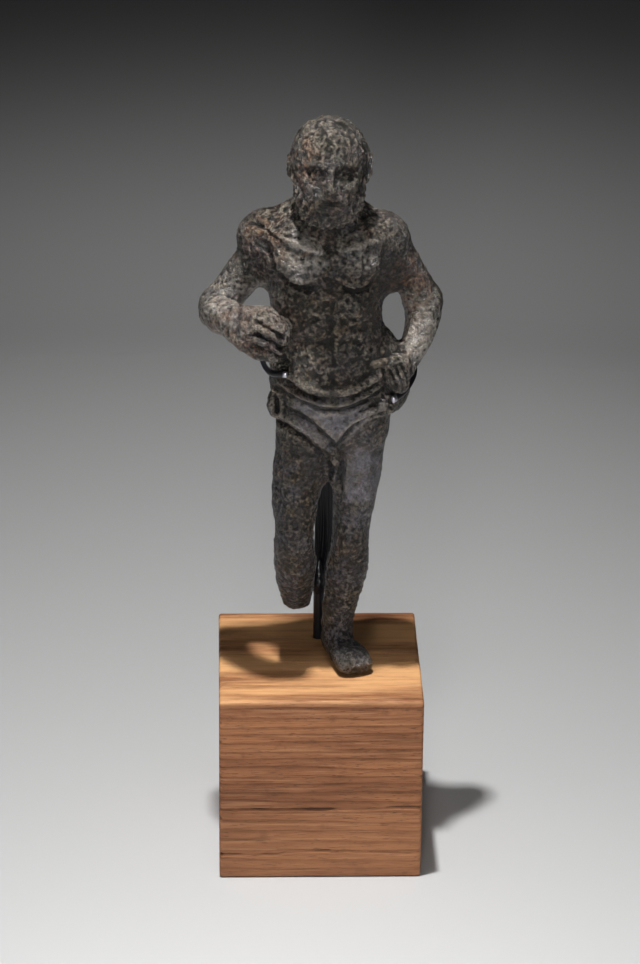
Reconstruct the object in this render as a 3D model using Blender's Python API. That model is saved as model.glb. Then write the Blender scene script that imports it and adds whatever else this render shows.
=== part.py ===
"""A small solid-cast bronze boxer, held by a cradle of soldered wires on a post in a drilled wooden block.

Metres, +Z up. The boxer faces -Y, and its own right side is towards -X.
The origin is the centre of the block's underside.
"""

import math

import bmesh
import bpy
import numpy as np
from mathutils import Matrix, Vector
from mathutils.bvhtree import BVHTree

# Driving sizes
FIGURE_HEIGHT = 0.126
BLOCK_WIDTH = 0.0445
BLOCK_DEPTH = 0.0445
BLOCK_HEIGHT = 0.0435
BLOCK_EDGE_ROUND = 0.0011
POST_DIAMETER = 0.0024
POST_SOCKET_DEPTH = 0.018
POST_CHAMFER = 0.0004
WIRE_DIAMETER = 0.0012

# Clearances
FIT_GAP = 0.0003
CLAW_GAP = 0.00045

# The figure is sculpted in units of which its height holds 126, from its sole at z = 0
HEIGHT_IN_UNITS = 126
UNIT = FIGURE_HEIGHT / HEIGHT_IN_UNITS
FIGURE_TRIANGLES = 7400
SKIN_VOXEL = 0.55
FAR = 60.0
STEPS_BETWEEN_STATIONS = 5
CAP_RINGS = 5

# The loincloth, in sculpting units
HIP_AXIS = (2.2, 0.6, 0.0)
CLOTH_THICKNESS = 0.6
ROLL_HEIGHT = 0.75
ROLL_WIDTH = 1.3

# The post stands behind the figure's heel. The three wires are soldered on its top and fan out from there.
POST_X = 0.1 * UNIT
POST_Y = 10.0 * UNIT
POST_TOP = 12.4 * UNIT
WIRE_SPACING = WIRE_DIAMETER + FIT_GAP
FAN_X = 1.05 * UNIT
FAN_Z = 23.3 * UNIT
WIRE_STEPS = 4
WIRE_SETTLES = 12


def clear_scene():
    for obj in list(bpy.data.objects):
        bpy.data.objects.remove(obj)


def make_material(name, colour, roughness, metallic):
    material = bpy.data.materials.new(name)
    material.use_nodes = True
    shader = material.node_tree.nodes["Principled BSDF"]
    shader.inputs["Base Color"].default_value = (*colour, 1)
    shader.inputs["Roughness"].default_value = roughness
    shader.inputs["Metallic"].default_value = metallic
    return material


def smooth_path(points, steps=STEPS_BETWEEN_STATIONS):
    """The points with Catmull-Rom points between them."""
    rows = np.array(points, float)
    ends = np.vstack([2 * rows[0] - rows[1], rows, 2 * rows[-1] - rows[-2]])
    found = []
    for p0, p1, p2, p3 in zip(ends, ends[1:], ends[2:], ends[3:]):
        for t in np.arange(steps) / steps:
            bend = 2 * p0 - 5 * p1 + 4 * p2 - p3 + t * (3 * (p1 - p2) + p3 - p0)
            found.append(p1 + 0.5 * t * (p2 - p0 + t * bend))
    found.append(rows[-1])
    return np.array(found)


def unit_rows(rows):
    return rows / np.linalg.norm(rows, axis=-1, keepdims=True)


def nearest_on_path(points, path):
    """For each point, the nearest place on a polyline, as a segment number and a share along it."""
    starts, runs = path[:-1, :3], np.diff(path[:, :3], axis=0)
    lengths = (runs ** 2).sum(axis=1)
    best = np.full(len(points), np.inf)
    segment = np.zeros(len(points), int)
    share = np.zeros(len(points))
    for i, (start, run, length) in enumerate(zip(starts, runs, lengths)):
        along = np.clip((points - start) @ run / length, 0, 1)
        off = ((points - start - along[:, None] * run) ** 2).sum(axis=1)
        closer = off < best
        best[closer] = off[closer]
        segment[closer] = i
        share[closer] = along[closer]
    return segment, share, np.sqrt(best)


class Limb:
    """A body part along stations of x, y, z, half width and half depth. Its width lies along side."""

    def __init__(self, stations, side=(1, 0, 0), squareness=2.0):
        self.path = smooth_path(stations)
        self.squareness = squareness
        tangents = unit_rows(np.gradient(self.path[:, :3], axis=0))
        side = np.array(side, float)
        self.across = unit_rows(side - (tangents @ side)[:, None] * tangents)
        self.front = np.cross(tangents, self.across)
        reach = self.path[:, 3:].max() + 8
        self.low = self.path[:, :3].min(axis=0) - reach
        self.high = self.path[:, :3].max(axis=0) + reach

    def distance(self, points):
        segment, share, _ = nearest_on_path(points, self.path)
        share = share[:, None]
        place = self.path[segment] * (1 - share) + self.path[segment + 1] * share
        across = self.across[segment] * (1 - share) + self.across[segment + 1] * share
        front = self.front[segment] * (1 - share) + self.front[segment + 1] * share
        off = points - place[:, :3]
        u = (off * across).sum(axis=1)
        v = (off * front).sum(axis=1)
        w = np.sqrt(np.maximum((off ** 2).sum(axis=1) - u ** 2 - v ** 2, 0))
        half_width, half_depth = place[:, 3], place[:, 4]
        end = np.minimum(half_width, half_depth)
        n = self.squareness
        size = (abs(u / half_width) ** n + abs(v / half_depth) ** n + (w / end) ** n) ** (1 / n)
        size = np.maximum(size, 0.05)
        return np.linalg.norm(off, axis=1) * (1 - 1 / size)

    def add_to(self, bm, sides=24):
        """Lofts rings along the path, with a dome at both ends."""
        rings = list(zip(self.path, self.across, self.front))
        angles = [0.5 * math.pi * i / CAP_RINGS for i in range(1, CAP_RINGS)]
        for end, inner in ((0, 1), (-1, -2)):
            ring, across, front = rings[0] if end == 0 else rings[-1]
            outward = self.path[end, :3] - self.path[inner, :3]
            outward *= min(ring[3:]) / np.linalg.norm(outward)
            for angle in angles:
                centre = ring[:3] + outward * math.sin(angle)
                cap = (np.r_[centre, ring[3:] * math.cos(angle)], across, front)
                rings.insert(0 if end == 0 else len(rings), cap)
        loops = []
        for ring, across, front in rings:
            loop = []
            for turn in np.arange(sides) * math.tau / sides:
                edge = across * ring[3] * math.cos(turn) + front * ring[4] * math.sin(turn)
                loop.append(bm.verts.new(ring[:3] + edge))
            loops.append(loop)
        for low, high in zip(loops, loops[1:]):
            for i in range(sides):
                j = (i + 1) % sides
                bm.faces.new((low[i], low[j], high[j], high[i]))
        bm.faces.new(loops[0][::-1])
        bm.faces.new(loops[-1])


class Mass:
    """An ellipsoid, turned about the X axis by degrees."""

    def __init__(self, centre, radii, turn=0.0):
        self.centre = np.array(centre, float)
        self.radii = np.array(radii, float)
        self.turn = np.array(Matrix.Rotation(math.radians(turn), 3, "X"))
        reach = self.radii.max() + 8
        self.low, self.high = self.centre - reach, self.centre + reach

    def distance(self, points):
        off = (points - self.centre) @ self.turn
        size = np.maximum(np.linalg.norm(off / self.radii, axis=1), 0.05)
        return np.linalg.norm(off, axis=1) * (1 - 1 / size)

    def add_to(self, bm):
        turned = Matrix(self.turn.tolist()).to_4x4()
        matrix = Matrix.Translation(self.centre) @ turned @ Matrix.Diagonal((*self.radii, 1))
        bmesh.ops.create_uvsphere(bm, u_segments=24, v_segments=16, radius=1, matrix=matrix)


# Each group is melted together by its first number, and then into the groups before it by its second
GROUPS = [
    ("trunk", 2.6, 0.0, [
        Limb([
            (2.2, 1.2, 50.0, 7.4, 5.8),
            (2.3, 1.2, 52.5, 9.8, 7.8),
            (2.5, 1.1, 56.0, 12.0, 8.9),
            (2.4, 0.8, 61.0, 12.4, 9.0),
            (1.9, -0.1, 67.5, 12.5, 8.6),
            (1.4, -0.8, 74.0, 12.0, 7.9),
            (1.0, -0.4, 80.0, 11.6, 8.1),
            (0.8, 0.3, 86.0, 12.2, 8.8),
            (0.5, 0.9, 92.0, 12.8, 9.0),
            (0.7, 1.3, 98.0, 12.2, 8.0),
            (1.1, 1.5, 102.5, 8.4, 6.2),
        ], squareness=2.35),
        Limb([
            (-13.2, 1.2, 99.2, 4.0, 3.8),
            (-7.6, 2.0, 101.9, 4.0, 3.3),
            (1.4, 2.2, 102.6, 4.2, 3.4),
            (8.8, 2.0, 101.3, 4.0, 3.3),
            (14.0, 1.2, 98.4, 3.9, 3.8),
        ], side=(0, 1, 0)),
        Mass((-5.6, -4.3, 95.6), (6.8, 4.5, 4.5), 14),
        Mass((6.6, -4.3, 95.0), (6.8, 4.5, 4.5), 14),
        Mass((1.3, -3.4, 71.2), (9.0, 6.0, 5.6)),
        Mass((1.0, -3.0, 81.0), (7.2, 5.6, 6.2)),
        Mass((-3.2, 4.6, 53.6), (6.0, 5.4, 6.4)),
        Mass((8.2, 4.6, 53.6), (6.0, 5.4, 6.4)),
        Mass((-7.4, 5.6, 92.6), (5.0, 3.8, 7.6), -6),
        Mass((9.0, 5.6, 92.2), (5.0, 3.8, 7.6), -6),
        Mass((-12.6, 1.0, 92.6), (3.6, 4.2, 5.2)),
        Mass((13.6, 1.6, 91.0), (3.6, 4.2, 5.8)),
        Mass((-5.6, -2.8, 100.0), (6.0, 4.4, 4.2), 24),
        Mass((7.6, -2.8, 99.6), (5.8, 4.4, 4.2), 24),
        Mass((11.4, -1.2, 74.2), (4.8, 5.2, 4.0)),
        Limb([
            (12.4, 5.0, 66.0, 2.6, 3.2),
            (15.2, 0.6, 63.8, 2.5, 3.1),
            (14.3, -3.6, 62.4, 1.8, 2.4),
            (11.2, -6.1, 62.0, 1.3, 1.6),
            (7.6, -6.9, 61.8, 0.9, 1.1),
        ], side=(0, 0, 1)),
    ]),
    ("head", 2.4, 2.4, [
        Limb([(1.2, 1.2, 99.0, 6.2, 5.8), (1.4, 0.2, 105.5, 5.8, 5.8), (1.5, -2.0, 112.0, 5.6, 6.2)]),
        Mass((1.1, -3.8, 117.3), (8.0, 9.1, 8.7)),
        Mass((1.1, -7.0, 112.2), (6.6, 6.2, 7.2), 10),
        Mass((0.9, -7.6, 109.4), (6.1, 5.8, 5.2)),
        Mass((-5.7, -3.4, 115.4), (1.1, 1.7, 2.7)),
        Mass((8.1, -3.4, 115.4), (1.2, 1.7, 2.7)),
    ]),
    ("right arm", 2.2, 1.8, [
        Mass((-12.8, 2.2, 97.9), (5.0, 4.9, 5.8)),
        Limb([
            (-12.6, 2.0, 96.8, 4.6, 4.8),
            (-14.4, 2.4, 92.9, 4.3, 4.2),
            (-17.4, 2.9, 88.4, 4.1, 4.1),
            (-22.1, 3.0, 82.0, 3.8, 3.8),
        ], side=(0, 1, 0)),
        Limb([
            (-22.2, 2.8, 81.5, 3.8, 3.8),
            (-22.1, -3.4, 82.5, 3.7, 3.8),
            (-19.4, -8.2, 83.0, 3.5, 3.9),
            (-16.2, -11.2, 82.2, 3.5, 4.6),
            (-13.2, -12.8, 81.3, 3.6, 5.2),
            (-10.6, -13.2, 80.3, 3.1, 4.8),
        ], side=(0, 1, 0), squareness=2.4),
        Mass((-9.4, -9.4, 80.4), (2.6, 3.8, 3.8)),
    ]),
    ("left arm", 2.2, 1.8, [
        Mass((13.1, 0.8, 97.6), (4.8, 5.2, 6.0)),
        Limb([
            (12.8, 1.0, 97.0, 4.7, 4.7),
            (15.6, 1.5, 93.4, 4.5, 4.3),
            (18.3, 2.1, 89.4, 4.1, 4.0),
            (21.6, 3.0, 83.2, 3.8, 3.8),
        ], side=(0, 1, 0)),
        Limb([
            (21.7, 3.0, 82.6, 3.8, 3.8),
            (21.4, 1.5, 79.0, 3.6, 3.7),
            (20.1, -0.8, 75.2, 3.2, 3.2),
            (18.2, -3.2, 72.2, 2.6, 2.7),
            (17.0, -5.2, 70.0, 2.3, 2.5),
        ], side=(0, 1, 0)),
    ]),
    ("left hand", 0.8, 0.8, [
        Limb([
            (16.2, -6.4, 72.6, 2.5, 1.9),
            (15.9, -7.6, 69.8, 2.6, 1.6),
            (16.6, -7.6, 67.2, 1.7, 1.3),
        ]),
        Limb([
            (16.0, -7.6, 73.2, 1.3, 1.2),
            (13.2, -9.4, 73.6, 1.2, 1.1),
            (10.8, -10.2, 73.6, 1.0, 1.0),
        ], side=(0, 0, 1)),
    ]),
    ("knot", 0.8, 0.8, [
        Mass((-9.7, -3.6, 62.3), (1.5, 1.7, 3.2)),
        Mass((2.9, -7.3, 50.4), (1.1, 1.0, 1.7)),
    ]),
    ("left leg", 2.0, 2.4, [
        Limb([
            (8.2, 0.8, 53.0, 5.6, 7.2),
            (7.9, 0.2, 44.6, 5.2, 6.2),
            (7.2, -0.5, 38.0, 4.6, 5.4),
            (6.8, -1.2, 33.0, 4.1, 4.7),
            (6.5, -1.7, 27.8, 4.1, 4.3),
            (6.2, -0.4, 22.8, 4.4, 4.8),
            (5.5, 0.5, 17.4, 4.0, 4.4),
            (4.6, 1.0, 12.0, 3.6, 3.7),
            (4.0, 1.2, 7.6, 3.1, 3.3),
            (3.8, 1.0, 4.2, 2.9, 3.4),
        ]),
        Limb([
            (3.0, 4.2, 2.5, 2.5, 2.5),
            (4.0, 1.2, 2.9, 2.9, 2.9),
            (5.2, -2.4, 2.6, 3.4, 2.6),
            (6.8, -5.8, 2.2, 4.1, 2.2),
            (7.6, -8.6, 2.0, 4.1, 2.0),
        ], squareness=2.6),
        Mass((6.6, -4.2, 29.0), (2.7, 2.0, 3.4)),
    ]),
    ("right leg", 2.0, 2.4, [
        Limb([
            (-4.0, 0.6, 53.0, 5.6, 7.2),
            (-4.9, -0.2, 44.6, 5.5, 6.2),
            (-5.6, -1.4, 38.2, 5.0, 5.5),
            (-5.7, -2.8, 33.4, 4.3, 4.8),
            (-5.8, -3.6, 29.0, 3.9, 4.2),
        ]),
        Limb([
            (-5.8, -3.0, 28.2, 3.9, 4.0),
            (-5.5, -1.2, 23.6, 4.6, 4.6),
            (-5.3, 1.6, 17.6, 4.1, 4.3),
            (-5.0, 4.4, 12.6, 3.4, 3.4),
        ]),
        Mass((-5.8, -5.6, 30.4), (2.7, 2.0, 3.4)),
    ]),
]


def melt(first, second, reach):
    """A union whose crease is filled over reach."""
    if reach == 0:
        return np.minimum(first, second)
    share = np.clip(0.5 + 0.5 * (second - first) / reach, 0, 1)
    return second * (1 - share) + first * share - reach * share * (1 - share)


def bronze_distance(points, only=None):
    """About how far each point is from the figure's skin, in sculpting units; less than 0 inside."""
    total = np.full(len(points), FAR)
    for name, inner, outer, forms in GROUPS:
        if only and name not in only:
            continue
        group = np.full(len(points), FAR)
        for form in forms:
            near = np.all((points > form.low) & (points < form.high), axis=1)
            if near.any():
                group[near] = melt(group[near], form.distance(points[near]), inner)
        total = melt(total, group, outer)
    return total


# Carved lines: the group they lie on, its side (-1 front, 1 back), x and z along the line, width, height
LINES = [
    ("trunk", -1, [(0.9, 99.0), (0.5, 95.0), (0.7, 90.5), (1.0, 87.5)], 1.3, -0.45),
    ("trunk", -1, [(-0.4, 91.3), (-4.0, 90.4), (-8.0, 91.2), (-11.0, 94.0)], 1.2, -0.45),
    ("trunk", -1, [(1.8, 90.9), (5.5, 89.8), (9.3, 90.7), (12.2, 93.4)], 1.2, -0.45),
    ("trunk", -1, [(-8.2, 81.0), (-5.6, 84.8), (-2.3, 87.2), (0.9, 87.9)], 1.3, 0.35),
    ("trunk", -1, [(0.9, 87.9), (4.2, 87.0), (7.6, 84.4), (9.8, 80.6)], 1.3, 0.35),
    ("trunk", -1, [(0.9, 86.4), (1.1, 80.0), (1.4, 74.0), (1.6, 69.5)], 1.1, -0.35),
    ("trunk", -1, [(-4.2, 79.2), (1.1, 78.4), (6.2, 78.8)], 1.0, -0.25),
    ("trunk", -1, [(-4.6, 74.5), (1.3, 73.6), (7.0, 74.2)], 1.0, -0.25),
    ("trunk", -1, [(-11.0, 100.6), (-5.0, 99.8), (-0.6, 99.0)], 1.1, 0.35),
    ("trunk", -1, [(2.3, 99.0), (7.0, 99.4), (12.0, 99.8)], 1.1, 0.35),
    ("trunk", 1, [(1.4, 99.0), (1.0, 90.0), (1.2, 78.0), (1.8, 72.5)], 1.5, -0.7),
    ("trunk", 1, [(-3.5, 97.0), (-4.2, 92.0), (-7.4, 87.2), (-11.0, 89.0)], 1.4, 0.4),
    ("trunk", 1, [(6.1, 96.6), (6.8, 91.6), (9.6, 86.8), (12.6, 88.6)], 1.4, 0.4),
    ("trunk", 1, [(2.4, 58.5), (2.5, 53.0), (2.4, 49.5)], 1.6, -0.9),
    ("trunk", -1, [(2.2, 50.5), (1.8, 48.5)], 0.8, -0.5),
    ("right leg", -1, [(1.2, 47.5), (0.8, 43.5)], 0.8, -0.5),
    ("right leg", -1, [(-8.2, 27.0), (-5.8, 26.0), (-3.4, 27.0)], 1.0, -0.3),
    ("left leg", -1, [(3.1, 49.5), (3.3, 46.5), (3.5, 43.0)], 0.8, 0.5),
    ("left leg", -1, [(4.0, 26.0), (6.4, 25.0), (8.6, 26.0)], 1.0, -0.3),
    ("right arm", -1, [(-15.0, 82.6), (-11.5, 82.4), (-8.0, 81.8)], 0.6, -0.5),
    ("right arm", -1, [(-15.4, 80.2), (-11.5, 79.9), (-7.8, 79.2)], 0.6, -0.5),
    ("right arm", -1, [(-14.8, 77.8), (-11.5, 77.4), (-8.0, 76.9)], 0.6, -0.5),
    ("knot", -1, [(-9.7, 64.4), (-9.5, 62.3), (-9.5, 60.3)], 0.6, -0.9),
    ("head", -1, [(-4.4, 118.6), (-2.2, 119.7), (0.2, 119.3)], 0.9, 0.25),
    ("head", -1, [(2.0, 119.3), (4.4, 119.7), (6.6, 118.6)], 0.9, 0.25),
    ("head", -1, [(-3.6, 117.0), (-1.6, 116.9)], 1.2, -0.4),
    ("head", -1, [(3.8, 116.9), (5.8, 117.0)], 1.2, -0.4),
    ("head", -1, [(1.1, 118.2), (1.1, 115.4), (1.1, 113.2)], 1.0, 0.8),
]

# The loincloth's hem and its rolled top: height at each angle round the hips, from the front towards +X
HEM = [
    (-180, 51.0), (-120, 54.5), (-76, 58.8), (-40, 58.0), (-15, 54.9), (3, 52.0),
    (18, 55.0), (41, 59.3), (77, 60.0), (120, 55.5), (180, 51.0),
]
ROLL = [
    (-180, 71.0), (-110, 72.2), (-75, 71.8), (-37, 69.6), (-7, 66.5),
    (15, 66.8), (37, 68.6), (70, 70.2), (120, 71.4), (180, 71.0),
]
CLOTH_GROUPS = ("trunk", "knot", "left leg", "right leg")


def smooth_height(table, angles):
    """The table's height at each angle, in degrees, with Catmull-Rom points between its rows."""
    curve = smooth_path(table)
    return np.interp(angles, curve[:, 0], curve[:, 1])


def lay_on_skin(group, side, line):
    """The line's x and z with the y at which a probe from the front or the back meets the group."""
    probe = np.arange(-24, 24, 0.25) * -side
    laid = []
    for x, z in smooth_path(line):
        column = np.column_stack((np.full(len(probe), x), probe, np.full(len(probe), z)))
        inside = bronze_distance(column, only=(group,)) < 0
        laid.append((x, probe[inside.argmax()], z) if inside.any() else (x, 0, z))
    return np.array(laid)


def carve(positions, normals):
    """Raises and cuts the skin along the carved lines and round the loincloth."""
    height = np.zeros(len(positions))
    for group, side, line, width, depth in LINES:
        path = lay_on_skin(group, side, line)
        low, high = path.min(axis=0) - 3 * width, path.max(axis=0) + 3 * width
        near = np.all((positions > low) & (positions < high), axis=1)
        _, _, off = nearest_on_path(positions[near], path)
        height[near] += depth * np.exp(-((off / width) ** 2))
    off_axis = positions - np.array(HIP_AXIS)
    angles = np.degrees(np.arctan2(off_axis[:, 0], -off_axis[:, 1]))
    hem = smooth_height(HEM, angles)
    roll = smooth_height(ROLL, angles)
    on_cloth = np.clip(1.4 - bronze_distance(positions, only=CLOTH_GROUPS), 0, 1)
    over_hem = np.clip((positions[:, 2] - hem) / 0.8 + 0.5, 0, 1)
    under_roll = np.clip((roll - positions[:, 2]) / 1.2 + 0.5, 0, 1)
    height += CLOTH_THICKNESS * over_hem * under_roll * on_cloth
    height += ROLL_HEIGHT * np.exp(-(((positions[:, 2] - roll) / ROLL_WIDTH) ** 2)) * on_cloth
    return positions + height[:, None] * normals


def rough_union():
    """One closed skin around every form, before the creases are melted."""
    bm = bmesh.new()
    for _, _, _, forms in GROUPS:
        for form in forms:
            form.add_to(bm)
    bmesh.ops.recalc_face_normals(bm, faces=bm.faces)
    mesh = bpy.data.meshes.new("rough")
    bm.to_mesh(mesh)
    bm.free()
    rough = bpy.data.objects.new("rough", mesh)
    bpy.context.collection.objects.link(rough)
    remesh = rough.modifiers.new("fuse", "REMESH")
    remesh.mode = "VOXEL"
    remesh.voxel_size = SKIN_VOXEL
    graph = bpy.context.evaluated_depsgraph_get()
    fused = bpy.data.meshes.new_from_object(rough.evaluated_get(graph))
    bpy.data.objects.remove(rough)
    return fused


def vertex_positions(mesh):
    flat = np.empty(3 * len(mesh.vertices), np.float32)
    mesh.vertices.foreach_get("co", flat)
    return flat.reshape(-1, 3).astype(float)


def vertex_normals(mesh, positions):
    mesh.vertices.foreach_set("co", positions.astype(np.float32).ravel())
    mesh.update()
    flat = np.empty(3 * len(mesh.vertices), np.float32)
    mesh.vertex_normals.foreach_get("vector", flat)
    return flat.reshape(-1, 3).astype(float)


def neighbour_mean(edges, positions):
    total = np.zeros_like(positions)
    count = np.bincount(edges.ravel(), minlength=len(positions))[:, None]
    for axis in range(3):
        for near, far in ((0, 1), (1, 0)):
            total[:, axis] += np.bincount(
                edges[:, near], weights=positions[edges[:, far], axis], minlength=len(positions)
            )
    return total / count


def melt_skin(mesh, rounds=6):
    """Moves the skin on to the melted forms, evening out its vertices on the way."""
    flat = np.empty(2 * len(mesh.edges), np.int32)
    mesh.edges.foreach_get("vertices", flat)
    edges = flat.reshape(-1, 2)
    positions = vertex_positions(mesh)
    for _ in range(rounds):
        positions += 0.5 * (neighbour_mean(edges, positions) - positions)
        step = np.clip(bronze_distance(positions), -1.5, 1.5)
        positions -= step[:, None] * vertex_normals(mesh, positions)
    return positions


def build_boxer(bronze):
    mesh = rough_union()
    positions = melt_skin(mesh)
    positions = carve(positions, vertex_normals(mesh, positions))
    mesh.vertices.foreach_set("co", positions.astype(np.float32).ravel())
    mesh.transform(Matrix.Scale(UNIT, 4))
    mesh.materials.append(bronze)
    boxer = bpy.data.objects.new("boxer", mesh)
    boxer.location = (0, 0, BLOCK_HEIGHT + FIT_GAP)
    bpy.context.collection.objects.link(boxer)
    thin = boxer.modifiers.new("thin", "DECIMATE")
    thin.ratio = FIGURE_TRIANGLES / (2 * len(mesh.polygons))
    thin.use_collapse_triangulate = True
    return boxer


# Each wire's place beside the middle one, and its route from the fan up the figure's back to its tip
WIRES = {
    "right_claw": (-1, [
        (-0.3, 10.9, 36.0), (-1.0, 11.8, 46.0), (-4.4, 12.2, 57.0), (-8.8, 9.4, 66.0), (-12.0, 4.4, 70.2),
        (-13.0, 0.0, 70.6), (-11.4, -3.5, 70.5), (-9.4, -6.5, 70.6), (-7.4, -8.8, 70.7),
    ]),
    "centre_rest": (0, [
        (1.1, 11.1, 36.0), (1.3, 12.0, 46.0), (1.6, 12.0, 58.0), (1.6, 10.6, 65.0), (1.4, 9.2, 70.5),
    ]),
    "left_claw": (1, [
        (2.5, 10.9, 36.0), (3.6, 11.8, 46.0), (8.6, 12.0, 56.5), (14.8, 9.8, 64.5), (18.8, 6.0, 69.0),
        (19.8, 2.0, 69.2), (20.0, -0.6, 67.7), (18.6, -3.5, 65.9), (16.7, -6.1, 64.9), (14.8, -8.2, 64.6),
    ]),
}


def skin_tree(boxer):
    """A search tree of the figure's finished skin, in world space."""
    graph = bpy.context.evaluated_depsgraph_get()
    mesh = boxer.evaluated_get(graph).to_mesh()
    corners = [boxer.location + vertex.co for vertex in mesh.vertices]
    return BVHTree.FromPolygons(corners, [polygon.vertices for polygon in mesh.polygons])


def settle_clear(points, tree, clearance):
    """Pushes a route out of the bronze until its centre line is clear of it everywhere."""
    route = [Vector(point) for point in points]
    for _ in range(WIRE_SETTLES):
        for i in range(1, len(route) - 1):
            route[i] = route[i] * 0.8 + (route[i - 1] + route[i + 1]) * 0.1
        for i, point in enumerate(route):
            skin, normal, _, _ = tree.find_nearest(point)
            if (point - skin).dot(normal) < 0 or (point - skin).length < clearance:
                outward = (point - skin) if (point - skin).dot(normal) > 0 else normal
                route[i] = skin + outward.normalized() * clearance
    return route


def build_wire(name, place, bends, tree, steel):
    """One round wire from the post's top to its tip, laid just clear of the bronze."""
    back = (0.5 if place == 0 else -0.25) * math.sqrt(3) * WIRE_SPACING
    start = Vector((POST_X + 0.5 * place * WIRE_SPACING, POST_Y + back, BLOCK_HEIGHT + POST_TOP + FIT_GAP))
    fan = np.array((FAN_X + place * WIRE_SPACING, POST_Y + max(back, 0), FAN_Z)) / UNIT
    lift = Vector((0, 0, BLOCK_HEIGHT + FIT_GAP))
    upper = [lift + Vector(bend) * UNIT for bend in smooth_path([fan, *bends], WIRE_STEPS)]
    upper = settle_clear(upper, tree, CLAW_GAP + 0.5 * WIRE_DIAMETER)
    route = [start.lerp(upper[0], share) for share in (0, 0.33, 0.67)] + upper
    curve = bpy.data.curves.new(name, "CURVE")
    curve.dimensions = "3D"
    curve.bevel_depth = 0.5 * WIRE_DIAMETER
    curve.bevel_resolution = 2
    curve.use_fill_caps = True
    spline = curve.splines.new("POLY")
    spline.points.add(len(route) - 1)
    for point, position in zip(spline.points, route):
        point.co = (*position, 1)
    curve.materials.append(steel)
    wire = bpy.data.objects.new(name, curve)
    bpy.context.collection.objects.link(wire)


def build_post(steel):
    bm = bmesh.new()
    length = POST_TOP + POST_SOCKET_DEPTH
    bmesh.ops.create_cone(
        bm, cap_ends=True, segments=24, radius1=0.5 * POST_DIAMETER, radius2=0.5 * POST_DIAMETER,
        depth=length, matrix=Matrix.Translation((0, 0, 0.5 * length)),
    )
    ends = [edge for edge in bm.edges if len({round(vert.co.z, 6) for vert in edge.verts}) == 1]
    bmesh.ops.bevel(bm, geom=ends, offset=POST_CHAMFER, segments=2, affect="EDGES", profile=0.5)
    mesh = bpy.data.meshes.new("post")
    bm.to_mesh(mesh)
    bm.free()
    mesh.materials.append(steel)
    post = bpy.data.objects.new("post", mesh)
    post.location = (POST_X, POST_Y, BLOCK_HEIGHT - POST_SOCKET_DEPTH)
    bpy.context.collection.objects.link(post)


def build_block(wood):
    """The block, with a blind hole drilled for the post from its top."""
    bm = bmesh.new()
    size = (BLOCK_WIDTH, BLOCK_DEPTH, BLOCK_HEIGHT, 1)
    middle = Matrix.Translation((0, 0, 0.5 * BLOCK_HEIGHT))
    bmesh.ops.create_cube(bm, size=1, matrix=middle @ Matrix.Diagonal(size))
    mesh = bpy.data.meshes.new("block")
    bm.to_mesh(mesh)
    bm.free()
    mesh.materials.append(wood)
    block = bpy.data.objects.new("block", mesh)
    bpy.context.collection.objects.link(block)
    rounding = block.modifiers.new("rounding", "BEVEL")
    rounding.width = BLOCK_EDGE_ROUND
    rounding.segments = 3

    bm = bmesh.new()
    depth = POST_SOCKET_DEPTH + FIT_GAP
    radius = 0.5 * POST_DIAMETER + FIT_GAP
    bmesh.ops.create_cone(
        bm, cap_ends=True, segments=24, radius1=radius, radius2=radius, depth=2 * depth,
        matrix=Matrix.Translation((POST_X, POST_Y, BLOCK_HEIGHT)),
    )
    drill_mesh = bpy.data.meshes.new("drill")
    bm.to_mesh(drill_mesh)
    bm.free()
    drill = bpy.data.objects.new("drill", drill_mesh)
    drill.hide_render = True
    drill.display_type = "WIRE"
    bpy.context.collection.objects.link(drill)
    hole = block.modifiers.new("hole", "BOOLEAN")
    hole.operation = "DIFFERENCE"
    hole.object = drill


clear_scene()
bronze = make_material("bronze", (0.10, 0.085, 0.07), 0.5, 0.8)
steel = make_material("blackened_steel", (0.012, 0.012, 0.014), 0.3, 0.9)
wood = make_material("wood", (0.42, 0.20, 0.085), 0.55, 0.0)
boxer = build_boxer(bronze)
build_block(wood)
build_post(steel)
skin = skin_tree(boxer)
for wire_name, (place, bends) in WIRES.items():
    build_wire(wire_name, place, bends, skin, steel)
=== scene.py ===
"""A bronze boxer on its wire cradle and drilled wooden block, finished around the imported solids."""

import math

import bmesh
import bpy
import numpy as np
from mathutils import Matrix, Vector, noise
from mathutils.bvhtree import BVHTree


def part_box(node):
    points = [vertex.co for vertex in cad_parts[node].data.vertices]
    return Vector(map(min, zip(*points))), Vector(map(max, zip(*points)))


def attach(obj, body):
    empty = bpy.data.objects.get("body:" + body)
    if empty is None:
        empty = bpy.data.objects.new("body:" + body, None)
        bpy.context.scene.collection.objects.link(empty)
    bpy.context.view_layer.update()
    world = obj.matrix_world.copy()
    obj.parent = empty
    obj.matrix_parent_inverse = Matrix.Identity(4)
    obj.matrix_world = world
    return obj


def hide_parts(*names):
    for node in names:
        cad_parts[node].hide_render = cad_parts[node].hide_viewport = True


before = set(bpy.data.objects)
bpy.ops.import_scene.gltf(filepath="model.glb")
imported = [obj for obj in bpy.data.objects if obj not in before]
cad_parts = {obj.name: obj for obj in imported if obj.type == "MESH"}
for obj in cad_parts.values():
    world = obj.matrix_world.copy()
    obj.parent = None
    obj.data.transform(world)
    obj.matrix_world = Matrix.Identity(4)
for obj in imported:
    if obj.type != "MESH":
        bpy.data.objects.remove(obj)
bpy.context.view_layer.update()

# The place where the figure stands. All of it is seen by one long lens from a little above the head,
# with the roll and the turn of the photograph.
LENS_MM = 138.6
CAMERA_PLACE = (-0.02235, -0.73695, 0.41242)
CAMERA_YAW = math.radians(1.724)
CAMERA_PITCH = math.radians(23.896)
CAMERA_ROLL = math.radians(0.540)

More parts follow.
